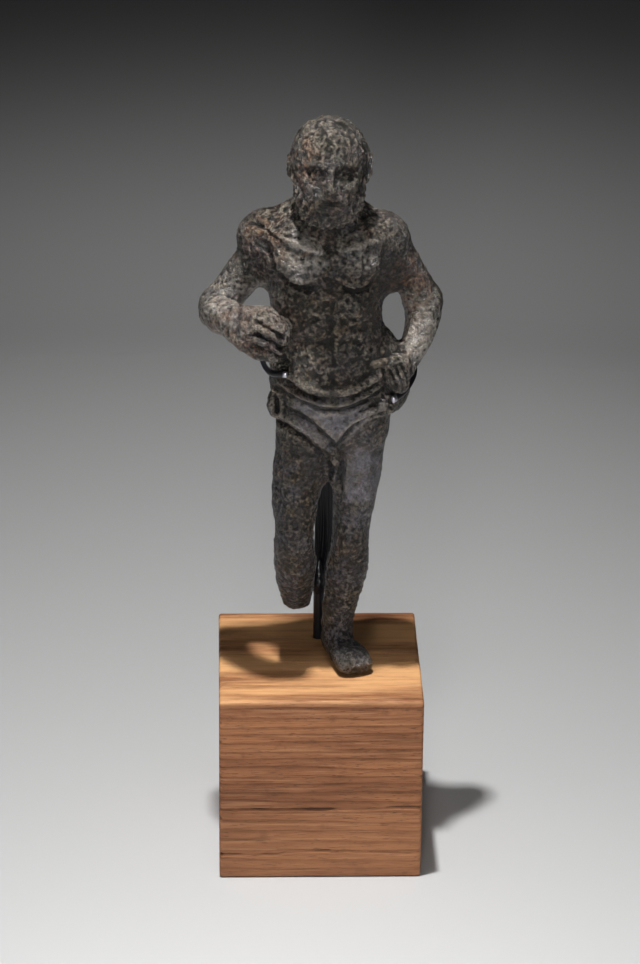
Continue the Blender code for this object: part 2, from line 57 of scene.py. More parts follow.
forward = Vector(
    (
        math.sin(CAMERA_YAW) * math.cos(CAMERA_PITCH),
        math.cos(CAMERA_YAW) * math.cos(CAMERA_PITCH),
        -math.sin(CAMERA_PITCH),
    )
)
level_right = Vector((math.cos(CAMERA_YAW), -math.sin(CAMERA_YAW), 0))
rolled = Matrix.Rotation(-CAMERA_ROLL, 3, forward)
right = rolled @ level_right
up = right.cross(forward)
camera_data = bpy.data.cameras.new("camera")
camera_data.lens = LENS_MM
camera_data.sensor_width = 36
camera_data.clip_start = 0.05
camera_data.clip_end = 20
camera = bpy.data.objects.new("camera", camera_data)
camera.matrix_world = Matrix.Translation(CAMERA_PLACE) @ Matrix((right, up, -forward)).transposed().to_4x4()
bpy.context.collection.objects.link(camera)
bpy.context.scene.camera = camera


class Finish:
    """A shader socket whose sums are written as Python, each adding the nodes that it needs."""

    def __init__(self, socket):
        self.socket = socket

    def node(self, kind, sockets=None, output=0, **settings):
        """Any node: its settings first, then the values or the links of its sockets."""
        made = self.socket.id_data.nodes.new(kind)
        for name, value in settings.items():
            setattr(made, name, value)
        for name, value in (sockets or {}).items():
            if isinstance(value, Finish):
                self.socket.id_data.links.new(value.socket, made.inputs[name])
            elif isinstance(value, tuple) and made.inputs[name].type == "RGBA":
                made.inputs[name].default_value = (*value, 1)
            else:
                made.inputs[name].default_value = value
        return Finish(made.outputs[output])

    def maths(self, operation, first, second=0.0):
        return self.node("ShaderNodeMath", {0: first, 1: second}, operation=operation)

    def __add__(self, other):
        return self.maths("ADD", self, other)

    def __sub__(self, other):
        return self.maths("SUBTRACT", self, other)

    def __rsub__(self, other):
        return self.maths("SUBTRACT", other, self)

    def __mul__(self, other):
        return self.maths("MULTIPLY", self, other)

    def __pow__(self, other):
        return self.maths("POWER", self, other)

    __radd__ = __add__
    __rmul__ = __mul__

    def between(self, low, high):
        """0 below low, 1 above high, and a smooth step on the way."""
        sockets = {"Value": self, "From Min": low, "From Max": high}
        return self.node("ShaderNodeMapRange", sockets, interpolation_type="SMOOTHSTEP")

    def mix(self, low, high):
        """The colour low where this is 0, and high where it is 1."""
        return self.node("ShaderNodeMix", {"Factor": self, 6: low, 7: high}, output=2, data_type="RGBA")

    def stretched(self, scale):
        """A place in the material, scaled a different amount along each axis."""
        return self.node("ShaderNodeVectorMath", {0: self, 1: scale}, operation="MULTIPLY")

    def cloudy(self, scale, detail=3.0, roughness=0.55):
        """Noise from 0 to 1 at this place, with so many humps to a metre."""
        sockets = {"Vector": self, "Scale": scale, "Detail": detail, "Roughness": roughness}
        return self.node("ShaderNodeTexNoise", sockets)

    def carved(self, name, output=2):
        """A value that the mesh carries at each of its points, or a colour where the output is 0."""
        return self.node("ShaderNodeAttribute", output=output, attribute_name=name)


def new_finish(name, **constants):
    """A material, its shader node with the constants set, and the place for its patterns."""
    material = bpy.data.materials.new(name)
    material.use_nodes = True
    shader = material.node_tree.nodes["Principled BSDF"]
    for socket, value in constants.items():
        shader.inputs[socket.replace("_", " ")].default_value = value
    texture = material.node_tree.nodes.new("ShaderNodeTexCoord")
    return material, shader, Finish(texture.outputs["Object"])


def feed(shader, socket, value):
    shader.id_data.links.new(value.socket, shader.inputs[socket])


def feed_bump(shader, height, distance, strength=1.0):
    bump = height.node("ShaderNodeBump", {"Height": height, "Distance": distance, "Strength": strength})
    feed(shader, "Normal", bump)


# The floor under the block: a plain pale sweep, matt, that the block casts its soft shadow on.
FLOOR_REACH = 3.0

material, shader, place = new_finish("pale_floor", Roughness=0.9)
feed(shader, "Base Color", place.cloudy(1.5).mix((0.50, 0.50, 0.50), (0.53, 0.53, 0.525)))
floor_mesh = bpy.data.meshes.new("floor")
bm = bmesh.new()
bmesh.ops.create_grid(bm, x_segments=1, y_segments=1, size=FLOOR_REACH)
bm.to_mesh(floor_mesh)
bm.free()
floor_mesh.materials.append(material)
floor = bpy.data.objects.new("floor", floor_mesh)
bpy.context.collection.objects.link(floor)

# The light: one small lamp overhead, which gives the shadow on the block, and weaker soft ones round it.
LIGHTS = {
    # position, aim, size, power, spread
    "overhead": ((-0.040, -0.052, 0.70), (-0.040, -0.280, 0.0), 0.023, 2.02, 90),
    "front_high": ((-0.06, -0.46, 0.82), (0.0, 0.0, 0.14), 0.10, 0.0065, 18),
    "front_floor": ((0.0, -0.22, 0.80), (0.0, -0.17, 0.0), 0.20, 0.064, 24),
    "left_high": ((-0.26, -0.15, 0.72), (0.0, 0.0, 0.10), 0.22, 0.0030, 20),
    "low_front": ((-0.10, -1.15, 0.22), (0.0, 0.0, 0.12), 0.10, 0.095, 26),
    "right_side": ((0.75, -0.45, 0.30), (0.0, 0.0, 0.13), 0.20, 0.0025, 24),
    "backdrop": ((0.0, 0.31, 0.90), (0.0, 0.31, 0.0), 0.20, 0.112, 38),
}
ROOM_STRENGTH = 0.030

for name, (position, aim, size, power, spread) in LIGHTS.items():
    light_data = bpy.data.lights.new(name, "AREA")
    light_data.size = size
    light_data.energy = power
    light_data.spread = math.radians(spread)
    light = bpy.data.objects.new(name, light_data)
    light.location = position
    light.rotation_euler = (Vector(aim) - light.location).to_track_quat("-Z", "Y").to_euler()
    bpy.context.collection.objects.link(light)
world = bpy.data.worlds.new("room")
world.use_nodes = True
world.node_tree.nodes["Background"].inputs["Color"].default_value = (0.5, 0.5, 0.5, 1)
world.node_tree.nodes["Background"].inputs["Strength"].default_value = ROOM_STRENGTH
bpy.context.scene.world = world
bpy.context.scene.view_settings.view_transform = "Standard"

# The block: open-grained hardwood, sawn square and oiled, its grain running from side to side.
# It is one piece with softly worn edges, drying cracks across its front, and a hole drilled for the post.
BLOCK_STEP = 0.0004
BLOCK_EDGE = 0.0007
RING_SPACING = 0.0016
RING_CENTRE = (0.055, -0.060)
POST_RADIUS = 0.0012
HOLE_RADIUS = 0.0015
HOLE_CLEARANCE = 0.0003
CRACKS = [
    # height, half width, depth, how much it wanders
    (0.0172, 0.00022, 0.0009, 0.0007),
    (0.0066, 0.00018, 0.0008, 0.0009),
]
DEEPEST_CRACK = 0.0009
CRACK_CUT = 0.0007
NICKS = [
    # across and up, along the front's two upright edges
    (-0.0222, 0.0385), (-0.0222, 0.0338), (-0.0222, 0.0150), (-0.0222, 0.0060), (0.0222, 0.0251),
]
NICK_REACH = 0.0009
NICK_CUT = 0.0005

low, high = (np.array(corner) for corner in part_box("block"))
post_low, post_high = (np.array(corner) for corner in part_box("post"))
post_middle = 0.5 * (post_low + post_high)


def cloud(points, size, seed=0):
    """Smooth noise from about -1 to 1, in humps of about the size, one value for each point."""
    scaled = (points / size + np.array((7.3, 3.1, 5.7)) * (seed + 1)).tolist()
    return np.array([noise.noise(point) for point in scaled])


def mesh_points(mesh):
    flat = np.empty(3 * len(mesh.vertices), np.float32)
    mesh.vertices.foreach_get("co", flat)
    return flat.reshape(-1, 3).astype(float)


def move_points(mesh, points):
    """Puts the points in the mesh and gives the normals that they then have."""
    mesh.vertices.foreach_set("co", points.astype(np.float32).ravel())
    mesh.update()
    flat = np.empty(3 * len(mesh.vertices), np.float32)
    mesh.vertex_normals.foreach_get("vector", flat)
    return flat.reshape(-1, 3).astype(float)


def keep_on_mesh(mesh, name, values):
    """Stores a value or a colour at each point, for the material to use."""
    values = np.asarray(values, np.float32)
    if values.ndim == 1:
        mesh.attributes.new(name, "FLOAT", "POINT").data.foreach_set("value", values)
    else:
        opaque = np.hstack([values, np.ones((len(values), 1), np.float32)])
        mesh.attributes.new(name, "FLOAT_COLOR", "POINT").data.foreach_set("color", opaque.ravel())


def link_mesh(name, mesh, material, body="root"):
    """A new visible piece that moves with the body."""
    piece = bpy.data.objects.new(name, mesh)
    bpy.context.collection.objects.link(piece)
    mesh.materials.clear()
    mesh.materials.append(material)
    mesh.shade_smooth()
    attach(piece, body)
    return piece


def reworked(mesh, *steps):
    """What the mesh becomes after the modifiers, each step a kind of modifier and its settings."""
    worker = bpy.data.objects.new("worker", mesh)
    bpy.context.collection.objects.link(worker)
    for kind, settings in steps:
        modifier = worker.modifiers.new(kind, kind)
        for name, value in settings.items():
            setattr(modifier, name, value)
    graph = bpy.context.evaluated_depsgraph_get()
    made = bpy.data.meshes.new_from_object(worker.evaluated_get(graph))
    bpy.data.objects.remove(worker)
    return made


counts = np.maximum(np.round((high - low) / BLOCK_STEP).astype(int), 2)
lines = [np.linspace(low[axis], high[axis], counts[axis] + 1) for axis in range(3)]
bm = bmesh.new()
for axis in range(3):
    first, second = [other for other in range(3) if other != axis]
    for side in (low[axis], high[axis]):
        rows = []
        for a in lines[first]:
            row = []
            for b in lines[second]:
                corner = [0.0, 0.0, 0.0]
                corner[axis], corner[first], corner[second] = side, a, b
                row.append(bm.verts.new(corner))
            rows.append(row)
        for near, far in zip(rows, rows[1:]):
            for i in range(len(near) - 1):
                bm.faces.new((near[i], near[i + 1], far[i + 1], far[i]))
bmesh.ops.remove_doubles(bm, verts=bm.verts, dist=1e-6)
bmesh.ops.recalc_face_normals(bm, faces=bm.faces)
block_mesh = bpy.data.meshes.new("wood_block")
bm.to_mesh(block_mesh)
bm.free()

points = mesh_points(block_mesh)
edge = BLOCK_EDGE * (1 + 0.35 * cloud(points, 0.006, 1))[:, None]
inner = np.clip(points, low + edge, high - edge)
off = points - inner
length = np.linalg.norm(off, axis=1, keepdims=True)
points = inner + off / np.maximum(length, 1e-9) * np.minimum(length, edge)
normals = move_points(block_mesh, points)

# The saw and the drying left the fibres a little proud, in lines along X on the four long faces
ring = np.hypot(points[:, 1] - RING_CENTRE[0], points[:, 2] - RING_CENTRE[1])
along = points * np.array((0.12, 1, 1))
ring += 0.0006 * cloud(along, 0.009, 2) + 0.0003 * cloud(along, 0.003, 3)
furrow = np.sin(ring / RING_SPACING * math.tau)
fibres = cloud(points * np.array((0.06, 1, 1)), 0.0011, 4)
depth = -0.00003 * np.clip(furrow, 0, 1) ** 4 - 0.00003 * np.clip(fibres, 0, 1)
depth += 0.00005 * cloud(points, 0.012, 5)
crack = np.zeros(len(points))
front = np.clip(-normals[:, 1], 0, 1) + 0.6 * np.abs(np.clip(normals[:, 0], -1, 1))
for number, (height, half_width, deep, wander) in enumerate(CRACKS):
    line = points * np.array((1, 1, 0))
    middle = height + wander * (cloud(line, 0.014, 10 + number) + 0.3 * cloud(line, 0.003, 20 + number))
    open_here = np.clip(0.65 + 0.9 * cloud(line, 0.010, 30 + number), 0, 1)
    crack += np.exp(-(((points[:, 2] - middle) / half_width) ** 2)) * deep / DEEPEST_CRACK * open_here * front
nicks = np.zeros(len(points))
for x, z in NICKS:
    away = np.linalg.norm((points - np.array((x, low[1], z))) * np.array((1, 1, 1.6)), axis=1)
    nicks += 0.8 * np.clip(1 - away / NICK_REACH, 0, 1)
depth -= CRACK_CUT * crack + NICK_CUT * nicks
points += normals * depth[:, None]
points = np.clip(points, low, high)
move_points(block_mesh, points)
keep_on_mesh(block_mesh, "crack", np.clip(crack + nicks, 0, 1))

# The drilled hole, as deep as the post stands in it
bm = bmesh.new()
hole_bottom = post_low[2] - HOLE_CLEARANCE
hole_top = high[2] + 0.002
bmesh.ops.create_cone(
    bm, cap_ends=True, segments=48, radius1=HOLE_RADIUS, radius2=HOLE_RADIUS, depth=hole_top - hole_bottom,
    matrix=Matrix.Translation((post_middle[0], post_middle[1], 0.5 * (hole_top + hole_bottom))),
)
drill_mesh = bpy.data.meshes.new("drill")
bm.to_mesh(drill_mesh)
bm.free()
drill = bpy.data.objects.new("drill", drill_mesh)
bpy.context.collection.objects.link(drill)
drilled_mesh = reworked(block_mesh, ("BOOLEAN", {"operation": "DIFFERENCE", "object": drill}))
bpy.data.objects.remove(drill)

material, shader, place = new_finish("oiled_wood", Specular_IOR_Level=0.35)
split = place.node("ShaderNodeSeparateXYZ", {0: place})
height_z = Finish(split.socket.node.outputs["Z"])
depth_y = Finish(split.socket.node.outputs["Y"])
lazy = place.stretched((14, 110, 110)).cloudy(1.0, 2)
ripple = place.stretched((60, 420, 420)).cloudy(1.0, 3)
ring = ((depth_y - RING_CENTRE[0]) ** 2 + (height_z - RING_CENTRE[1]) ** 2) ** 0.5
rings = (ring + lazy * 0.0022 + ripple * 0.0007) * (1 / RING_SPACING)
rings = rings.maths("FRACT", rings)
late = rings.between(0.45, 0.92) * (1 - rings.between(0.93, 1.0))
fibre = place.stretched((150, 2300, 2300)).cloudy(1.0, 5, 0.70)
pores = place.stretched((420, 4200, 4200)).cloudy(1.0, 2, 0.5).between(0.61, 0.70)
streak = place.stretched((40, 1500, 1500)).cloudy(1.0, 3, 0.60).between(0.54, 0.66)
patch = place.stretched((16, 110, 110)).cloudy(1.0, 5, 0.65)
above = height_z.between(high[2] - 0.0012, high[2] - 0.0002)
below = 1 - height_z.between(0.0, 0.028)
pale = patch.between(0.30, 0.70).mix((0.235, 0.083, 0.032), (0.46, 0.190, 0.079))
dark = patch.between(0.30, 0.70).mix((0.090, 0.030, 0.011), (0.19, 0.067, 0.025))
wood = (late * 0.55 + fibre.between(0.44, 0.66) * 0.45).mix(pale, dark)
wood = (streak * 0.42).mix(wood, (0.58, 0.290, 0.140))
wood = (pores * 0.60).mix(wood, (0.060, 0.022, 0.009))
wood = (place.cloudy(240, 3).between(0.60, 0.75) * 0.40).mix(wood, (0.13, 0.050, 0.022))
# Painted light: the top face is made paler, as the lamp overhead lights it
wood = (above * patch.between(0.34, 0.62) * 0.70).mix(wood, (0.78, 0.435, 0.190))
# Painted light: the lower front is made lighter, as by light bounced from the floor
wood = (below * 0.22).mix(wood, (0.62, 0.300, 0.145))
wood = (place.carved("crack").between(0.15, 0.80) * 0.85).mix(wood, (0.045, 0.018, 0.008))
feed(shader, "Base Color", wood)
feed(shader, "Roughness", 0.50 + 0.18 * fibre + 0.12 * late)
feed_bump(shader, fibre * 0.5 + late * -0.35 + pores * -0.8, 0.00008, 0.8)
block = link_mesh("wood_block", drilled_mesh, material)
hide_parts("block")

# The bronze: one lost-wax casting, solid, under a dark brown-black crust that time has pitted.
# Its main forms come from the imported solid, and the fine ones are carved on to a finer skin here.
SKIN_VOXEL = 0.00027
SKIN_EASING = 8
SKIN_TRIANGLES = 194000
MILLIMETRE = 0.001
SOLE = 0.0438
SIDES = {"front": (1, -1), "back": (1, 1), "right": (0, -1), "left": (0, 1), "above": (2, 1)}

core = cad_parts["boxer"].data.copy()
bm = bmesh.new()
bm.from_mesh(core)
bmesh.ops.remove_doubles(bm, verts=bm.verts, dist=1e-6)
bm.to_mesh(core)
bm.free()
skin = reworked(
    core, ("REMESH", {"mode": "VOXEL", "voxel_size": SKIN_VOXEL}), ("SMOOTH", {"iterations": SKIN_EASING})
)
skin.name = "bronze_boxer"


def smooth_path(stations, steps=5):
    """The stations with Catmull-Rom points between them."""
    rows = np.array(stations, float)
    ends = np.vstack([2 * rows[0] - rows[1], rows, 2 * rows[-1] - rows[-2]])
    found = []
    for p0, p1, p2, p3 in zip(ends, ends[1:], ends[2:], ends[3:]):
        for t in np.arange(steps) / steps:
            bend = 2 * p0 - 5 * p1 + 4 * p2 - p3 + t * (3 * (p1 - p2) + p3 - p0)
            found.append(p1 + 0.5 * t * (p2 - p0 + t * bend))
    found.append(rows[-1])
    return np.array(found)


class Carving:
    """The figure's skin in millimetres from its sole, with the tools that raise it and cut it."""

    def __init__(self, mesh):
        self.mesh = mesh
        self.points = (mesh_points(mesh) - (0, 0, SOLE)) / MILLIMETRE
        self.lift = np.zeros(len(self.points))
        self.settle()

    def settle(self):
        """Moves the skin by what has been carved so far, and takes its new shape as the ground."""
        if self.lift.any():
            self.points += self.normals * self.lift[:, None]
        self.lift[:] = 0
        self.normals = move_points(self.mesh, self.points * MILLIMETRE + (0, 0, SOLE))
        faces = [polygon.vertices for polygon in self.mesh.polygons]
        self.tree = BVHTree.FromPolygons(self.points.tolist(), faces)

    def lay(self, line, side):
        """A line laid on the skin, from one side, or from points near the skin where side is None."""
        if side is None:
            return np.array([self.tree.find_nearest(point)[0] for point in smooth_path(line)])
        axis, sign = SIDES[side]
        laid = []
        for pair in smooth_path(line):
            start = np.insert(pair, axis, 60.0 * sign if axis < 2 else 160.0)
            aim = np.zeros(3)
            aim[axis] = -sign
            hit = self.tree.ray_cast(start, aim)[0]
            if hit is not None:
                laid.append(hit)
        return np.array(laid)

    def stroke(self, line, width, height, side="front", taper=0.25):
        """A ridge, or a groove where height is negative, that thins out towards both ends."""
        path = self.lay(line, side)
        if len(path) < 2:
            return
        low, high = path.min(axis=0) - 2.6 * width, path.max(axis=0) + 2.6 * width
        near = np.flatnonzero(np.all((self.points > low) & (self.points < high), axis=1))
        points = self.points[near]
        runs = np.diff(path, axis=0)
        lengths = np.maximum(np.linalg.norm(runs, axis=1), 1e-6)
        starts = np.r_[0, np.cumsum(lengths)]
        best = np.full(len(near), np.inf)
        share = np.zeros(len(near))
        for i, (start, run, length) in enumerate(zip(path, runs, lengths)):
            along = np.clip((points - start) @ run / length ** 2, 0, 1)
            away = ((points - start - along[:, None] * run) ** 2).sum(axis=1)
            closer = away < best
            best[closer] = away[closer]
            share[closer] = (starts[i] + along[closer] * length) / starts[-1]
        fade = np.clip(np.minimum(share, 1 - share) / taper, 0, 1) if taper else 1
        self.lift[near] += height * np.exp(-best / width ** 2) * np.sqrt(fade)

    def lump(self, centre, radii, height):
        """A low hump round a place, or a hollow where height is negative."""
        size = (((self.points - centre) / radii) ** 2).sum(axis=1)
        self.lift += height * np.exp(-size)

    def near(self, centre, radii, soft=0.5):
        """1 well inside an ellipsoid and 0 outside it, with a soft rim."""
        size = np.sqrt((((self.points - centre) / radii) ** 2).sum(axis=1))
        return np.clip((1 - size) / soft, 0, 1)


carving = Carving(skin)

# The chest, the belly and the back, in long low strokes: line, width, height
TORSO_DEPTH = 1.7
TORSO_STROKES = [
    ([(0.9, 100.5), (1.4, 96.0), (1.8, 92.0), (2.2, 88.5)], 1.0, -0.16),
    ([(-1.0, 90.6), (-4.0, 90.0), (-7.2, 91.0), (-9.8, 93.6)], 0.9, -0.65),
    ([(-1.4, 92.3), (-4.2, 91.7), (-7.0, 92.8)], 1.2, 0.45),
    ([(3.6, 90.6), (6.4, 89.2), (9.4, 89.4), (11.6, 91.8)], 0.9, -0.65),
    ([(4.0, 92.2), (6.6, 91.0), (9.4, 91.4)], 1.2, 0.45),
    ([(-8.0, 80.6), (-6.6, 84.0), (-3.6, 86.6), (0.9, 87.4), (5.4, 87.0), (8.2, 84.6), (9.4, 81.0)],
     1.2, 0.12),
    ([(1.9, 88.0), (1.6, 80.0), (1.8, 74.6)], 0.8, -0.42),
    ([(2.3, 72.6), (2.2, 68.0)], 0.8, -0.25),
    ([(-4.6, 82.6), (-1.4, 83.4), (1.4, 82.6)], 0.7, -0.28),
    ([(3.2, 82.8), (5.4, 83.4), (7.6, 82.4)], 0.7, -0.28),
    ([(-5.4, 77.2), (-1.4, 78.0), (1.6, 77.2)], 0.7, -0.28),
    ([(3.2, 77.4), (5.6, 78.0), (8.2, 77.0)], 0.7, -0.28),
    ([(-13.0, 101.0), (-8.0, 100.6), (-2.6, 98.6), (0.0, 98.0)], 0.8, 0.40),
    ([(2.6, 98.0), (6.0, 99.0), (10.6, 100.2), (14.0, 99.6)], 0.8, 0.40),
    ([(-8.6, 74.4), (-7.6, 70.6), (-5.4, 68.4)], 1.0, -0.30),
    ([(10.0, 74.6), (9.2, 71.0), (7.4, 68.2)], 1.0, -0.25),
    ([(-12.0, 98.0), (-11.0, 95.4), (-10.2, 92.6)], 0.9, -0.50),
    ([(12.8, 97.6), (12.6, 94.8), (12.4, 91.8)], 0.9, -0.50),
]
BACK_STROKES = [
    ([(1.4, 99.0), (1.2, 90.0), (1.4, 80.0), (1.9, 73.0)], 1.1, -0.45),
    ([(-3.2, 96.8), (-3.6, 92.0), (-6.0, 87.4), (-9.8, 87.0)], 1.0, 0.35),
    ([(5.8, 96.4), (6.2, 91.6), (8.8, 86.8), (12.0, 86.6)], 1.0, 0.35),
    ([(-10.4, 98.4), (-6.6, 97.8), (-3.6, 96.6)], 0.9, 0.30),
    ([(12.0, 98.0), (8.8, 97.4), (6.2, 96.2)], 0.9, 0.30),
    ([(-2.2, 84.0), (-2.0, 79.0), (-1.2, 74.0)], 1.2, 0.30),
    ([(5.0, 84.0), (4.8, 79.0), (4.6, 74.0)], 1.2, 0.30),
]
for line, width, height in TORSO_STROKES:
    carving.stroke(line, width, TORSO_DEPTH * height)
for line, width, height in BACK_STROKES:
    carving.stroke(line, width, height, "back")
for x, z in ((-2.4, 84.6), (5.6, 84.6), (-2.6, 79.6), (5.8, 79.6), (-2.4, 74.8), (6.0, 75.0)):
    # The belly's muscles, in three pairs
    carving.lump((x, -8.4, z), (2.7, 3.0, 1.9), 0.65)
BODY_LUMPS = [
    # centre, radii, height: two breasts, two nipples, the navel, a hollow at the left hip, the fork of the
    # legs, and the inner side of the left shin
    ((-6.2, -8.6, 94.0), (4.6, 4.0, 3.0), 0.55),
    ((7.0, -8.4, 93.4), (4.4, 4.0, 3.0), 0.55),
    ((-5.0, -8.6, 92.2), (0.8, 1.2, 0.8), 0.45),
    ((7.4, -8.4, 91.4), (0.8, 1.2, 0.8), 0.45),
    ((2.4, -8.6, 73.4), (0.9, 1.4, 0.9), -0.75),
    ((11.4, -7.4, 63.4), (4.2, 2.6, 2.0), -0.55),
    ((1.7, -1.0, 43.6), (2.0, 6.0, 2.4), 1.30),
    ((1.8, -2.0, 16.0), (1.6, 5.0, 8.0), 0.55),
]
for centre, radii, height in BODY_LUMPS:
    carving.lump(centre, radii, height)

# The loincloth: the belly's fold over a rolled belt, and two flaps that cross to a point between the legs
CLOTH_DEPTH = 1.8
CLOTH_STROKES = [
    ([(-9.5, 69.8), (-8.2, 69.2), (-6.6, 68.0), (-4.9, 67.1), (-2.7, 66.1), (-0.6, 65.5), (1.5, 65.3),
      (3.6, 65.3), (5.8, 65.7), (7.9, 66.5), (10.0, 67.2), (12.2, 68.0)], 0.55, -0.85),
    ([(-8.6, 70.8), (-4.9, 68.8), (-0.6, 67.2), (3.6, 67.0), (7.9, 68.1), (11.6, 69.6)], 0.80, 0.50),
    ([(-9.9, 68.0), (-7.8, 67.2), (-5.7, 66.2), (-3.1, 65.2), (-0.6, 64.4), (2.0, 64.1), (4.5, 64.2),
      (7.1, 65.0), (9.6, 66.0), (12.2, 67.0)], 0.60, 0.55),
    ([(-9.9, 66.4), (-7.8, 65.6), (-5.7, 64.7), (-3.1, 63.6), (-0.6, 62.8), (2.0, 62.5), (4.5, 62.7),
      (7.1, 63.6), (9.6, 64.6), (12.6, 65.6)], 0.50, -0.45),
    ([(-9.4, 62.6), (-7.8, 61.9), (-5.4, 61.2), (-3.7, 60.2), (-2.0, 59.0), (-0.1, 57.2), (1.6, 55.5),
      (2.7, 53.9)], 0.50, -0.65),
    ([(-9.6, 60.0), (-7.6, 59.7), (-5.2, 59.0), (-3.0, 57.4), (-0.9, 55.4), (1.2, 53.2), (2.4, 51.8)],
     0.85, 0.65),
    ([(-9.9, 56.6), (-8.1, 57.2), (-6.2, 56.5), (-4.3, 55.5), (-2.6, 54.0), (-0.9, 52.0), (0.7, 50.0)],
     0.60, -0.75),
    ([(14.0, 61.4), (11.8, 60.8), (9.7, 60.1), (7.6, 59.1), (5.9, 57.8), (4.4, 55.9), (3.2, 53.2)],
     0.55, -0.60),
    ([(14.2, 62.8), (11.6, 62.2), (9.0, 61.4), (6.6, 60.0), (4.6, 57.6), (3.2, 55.0)], 0.75, 0.35),
    ([(13.6, 60.0), (10.6, 59.2), (7.8, 57.6), (5.6, 55.0), (4.0, 51.8)], 0.75, 0.30),
    ([(12.6, 64.4), (9.6, 63.0), (6.8, 61.6)], 0.45, -0.35),
    ([(13.2, 66.4), (11.0, 65.4), (8.6, 64.2)], 0.45, -0.40),
    ([(3.0, 54.0), (2.9, 51.6)], 0.60, 0.40),
    ([(2.5, 49.8), (2.2, 47.2), (2.0, 44.6)], 0.50, -0.60),
    ([(3.9, 51.0), (4.3, 47.6), (4.2, 43.0), (4.0, 39.0)], 0.45, -0.55),
    ([(3.1, 50.4), (3.2, 46.6), (3.1, 42.0)], 0.45, 0.45),
    ([(5.6, 50.4), (5.6, 46.0), (5.2, 41.0)], 0.60, 0.30),
]
for line, width, height in CLOTH_STROKES:
    carving.stroke(line, width, CLOTH_DEPTH * height)
generator = np.random.default_rng(11)
for crease in range(26):
    # Fine drawn-out creases that fall with the flaps
    x = generator.uniform(-7.0, 12.0)
    z = generator.uniform(58.5, 64.0) if x < 4 else generator.uniform(52.0, 64.0)
    reach = generator.uniform(2.0, 4.5)
    slope = -0.45 if x < 2 else 0.35
    line = [(x, z), (x + 0.5 * reach, z + 0.5 * slope * reach + 0.15), (x + reach, z + slope * reach)]
    carving.stroke(line, generator.uniform(0.22, 0.34), generator.choice((-0.16, 0.13)))
for crease in range(18):
    # The cloth behind hangs plainly from its rolled top
    x = -9.0 + 1.25 * crease + generator.uniform(-0.4, 0.4)
    sway = generator.uniform(-1.0, 1.0)
    line = [(x, 68.0), (x + 0.3 * sway, 63.0), (x + sway, 58.0)]
    carving.stroke(line, 0.5, generator.choice((-0.30, 0.24)), "back")
carving.settle()

# The knot at its right hip: a loop pulled through, with a hollow eye
loop = []
for turn in np.linspace(0, math.tau, 15):
    loop.append((-9.75 + 1.05 * math.sin(turn), 62.4 + 2.9 * math.cos(turn)))
carving.stroke(loop, 0.42, 0.55, taper=0)
carving.stroke([(-9.6, 64.2), (-9.5, 62.3), (-9.5, 60.4)], 0.48, -1.15, taper=0.1)
carving.stroke([(-8.3, 65.4), (-8.0, 62.4), (-8.4, 59.2)], 0.40, -0.45)
carving.lump((2.9, -8.4, 50.6), (0.8, 1.4, 1.2), 0.55)

# The right fist: four fingers closed over the palm, the thumb above, and the edge of a wrapping at the wrist
FIST_STROKES = [
    ([(-14.9, 85.6), (-12.8, 84.8), (-10.4, 83.2), (-8.2, 81.6)], 0.42, -0.85),
    ([(-14.9, 83.0), (-12.6, 82.0), (-10.2, 80.5), (-8.0, 79.0)], 0.42, -0.95),
    ([(-14.6, 80.2), (-12.4, 79.2), (-10.2, 77.9), (-8.6, 76.8)], 0.42, -0.85),
    ([(-15.2, 84.4), (-12.7, 83.4), (-10.3, 81.8), (-8.2, 80.4)], 0.62, 0.42),
    ([(-15.0, 81.8), (-12.5, 80.6), (-10.2, 79.2), (-8.3, 78.0)], 0.62, 0.45),
    ([(-14.6, 79.0), (-12.4, 78.0), (-10.4, 76.8), (-9.0, 75.9)], 0.55, 0.38),
    ([(-11.0, 85.0), (-11.6, 81.4), (-12.4, 78.0)], 0.55, -0.30),
    ([(-17.2, 87.0), (-18.2, 83.6), (-18.0, 80.0)], 0.50, -0.40),
    ([(-18.6, 87.4), (-19.6, 84.0), (-19.2, 80.4)], 0.60, 0.28),
]
# The left hand lies flat on the hip with its fingers down and its thumb forward
HAND_STROKES = [
    ([(13.6, 72.6), (14.8, 70.4), (15.6, 68.2), (16.2, 66.6)], 0.32, -0.50),
    ([(15.0, 73.0), (16.2, 70.6), (16.9, 68.4), (17.2, 66.4)], 0.32, -0.50),
    ([(16.4, 73.2), (17.4, 71.0), (18.0, 69.0)], 0.32, -0.42),
    ([(12.6, 73.0), (13.9, 70.6), (14.8, 68.6)], 0.50, 0.28),
    ([(14.3, 72.6), (15.4, 70.4), (16.2, 68.0)], 0.45, 0.25),
    ([(15.8, 72.8), (16.9, 70.4), (17.6, 68.0)], 0.45, 0.25),
    ([(10.2, 73.9), (11.8, 74.4), (13.6, 74.6)], 0.50, 0.30),
    ([(10.6, 72.6), (12.0, 72.7), (13.2, 72.2)], 0.42, -0.40),
]
for line, width, height in FIST_STROKES + HAND_STROKES:
    carving.stroke(line, width, height)
carving.lump((-12.2, -10.6, 86.0), (3.2, 3.2, 1.8), 1.3)

# Legs: knees, shins, calves and ankle bones, and the worn foot with its toes
LEG_STROKES = [
    ([(-8.0, 32.6), (-6.0, 33.8), (-3.8, 32.8)], 0.8, 0.30),
    ([(-8.4, 28.6), (-6.0, 27.0), (-3.6, 28.4)], 0.8, -0.30),
    ([(-5.8, 27.0), (-5.4, 23.0), (-5.2, 18.0)], 1.0, 0.25),
    ([(4.2, 31.6), (6.6, 32.8), (8.8, 31.4)], 0.8, 0.30),
    ([(4.0, 27.4), (6.6, 25.8), (8.8, 27.2)], 0.8, -0.32),
    ([(6.6, 25.6), (5.9, 19.0), (5.0, 12.0), (4.4, 7.0)], 0.9, 0.35),
    ([(8.8, 36.0), (9.4, 31.0), (9.4, 27.0)], 0.7, -0.30),
    ([(-9.2, 44.0), (-9.0, 38.0), (-8.6, 33.8)], 0.9, -0.22),
    ([(8.6, 48.0), (8.8, 41.0), (8.4, 35.6)], 0.9, -0.20),
]
